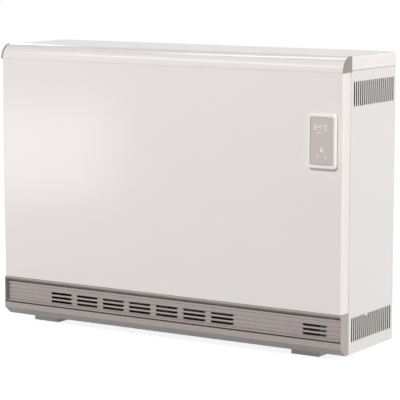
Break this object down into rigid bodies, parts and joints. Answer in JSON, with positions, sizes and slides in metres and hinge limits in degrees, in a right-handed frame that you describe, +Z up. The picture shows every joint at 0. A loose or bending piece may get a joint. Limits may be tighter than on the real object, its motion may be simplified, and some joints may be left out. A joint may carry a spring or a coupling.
{
  "type": "storage heater",
  "caption": "Low wide white storage heater with a rolled top edge, a raised display at the right and a grey slotted air outlet along its foot.",
  "frame": {"origin": "middle of the heater at floor level, under its feet", "axes": "+X to the right as seen from the front, +Y from the front to the back, +Z up"},
  "size_m": [0.926, 0.26, 0.672],
  "materials": {
    "white_enamel": "gloss",
    "white_side_enamel": "satin",
    "grey_enamel": "satin",
    "grey_plastic": "satin",
    "white_plastic": "gloss",
    "screen_plastic": "gloss",
    "zinc_steel": "satin",
    "screw_steel": "satin",
    "element_steel": "satin",
    "storage_brick": "matte",
    "insulation_board": "matte",
    "ceramic_white": "satin",
    "motor_steel": "satin",
    "bearing_bronze": "satin",
    "impeller_aluminium": "satin",
    "bimetal_strip": "satin",
    "light_plastic": "matte",
    "board_green": "satin",
    "black_rubber": "matte"
  },
  "bodies": {
    "root": {"top_cover": "white_enamel", "front_panel": "white_enamel", "front_trim": "white_enamel", "foot_left": "white_enamel", "foot_right": "white_enamel", "left_side_panel": "white_side_enamel", "right_side_panel": "white_side_enamel", "outlet_frame": "grey_enamel", "trim_cap_left": "grey_plastic", "trim_cap_right": "grey_plastic", "display_housing": "white_plastic", "display_screen": "screen_plastic", "base_plate": "zinc_steel", "back_panel": "zinc_steel", "core_shelf": "zinc_steel", "inner_front_plate": "zinc_steel", "inner_back_plate": "zinc_steel", "inner_left_plate": "zinc_steel", "inner_top_plate": "zinc_steel", "partition_plate": "zinc_steel", "fan_housing": "zinc_steel", "chassis_plate": "zinc_steel", "room_sensor": "zinc_steel", "front_panel_screws": "screw_steel", "casing_screws": "screw_steel", "grille_clips": "screw_steel", "heating_element_1": "element_steel", "heating_element_2": "element_steel", "heating_element_3": "element_steel", "core_sensor": "element_steel", "brick_layer_1": "storage_brick", "brick_layer_2": "storage_brick", "brick_layer_3": "storage_brick", "brick_layer_4": "storage_brick", "brick_layer_5": "storage_brick", "brick_layer_6": "storage_brick", "brick_layer_7": "storage_brick", "insulation_base": "insulation_board", "insulation_left": "insulation_board", "insulation_right": "insulation_board", "insulation_front": "insulation_board", "insulation_back": "insulation_board", "insulation_top": "insulation_board", "element_bushes": "ceramic_white", "fan_motor": "motor_steel", "fan_bearings": "bearing_bronze", "flap_bimetal": "bimetal_strip", "terminal_block": "light_plastic", "contactor": "light_plastic", "temperature_limiter": "light_plastic", "flap_bushes": "light_plastic", "control_board": "board_green", "display_board": "board_green", "cable_grommet": "black_rubber"},
    "fan_rotor": {"fan_shaft": "screw_steel", "impeller_left": "impeller_aluminium", "impeller_right": "impeller_aluminium"},
    "flap": {"bypass_flap": "zinc_steel"},
    "grille": {"outlet_grille": "grey_enamel", "grille_studs": "screw_steel"}
  },
  "joints": [
    {"name": "fan_spin", "type": "hinge", "parent": "root", "child": "fan_rotor", "pos_m": [-0.0696, 0.007, 0.07], "axis": [1, 0, 0], "continuous": true},
    {"name": "flap_hinge", "type": "hinge", "parent": "root", "child": "flap", "pos_m": [-0.0696, -0.0895, 0.1108], "axis": [-1, 0, 0], "range_deg": [0, 35], "stiffness_Nm_per_rad": 0.1, "springref_deg": -85.94},
    {"name": "grille_pull", "type": "slide", "parent": "root", "child": "grille", "axis": [0, -1, 0], "range_m": [0, 0.05]}
  ]
}
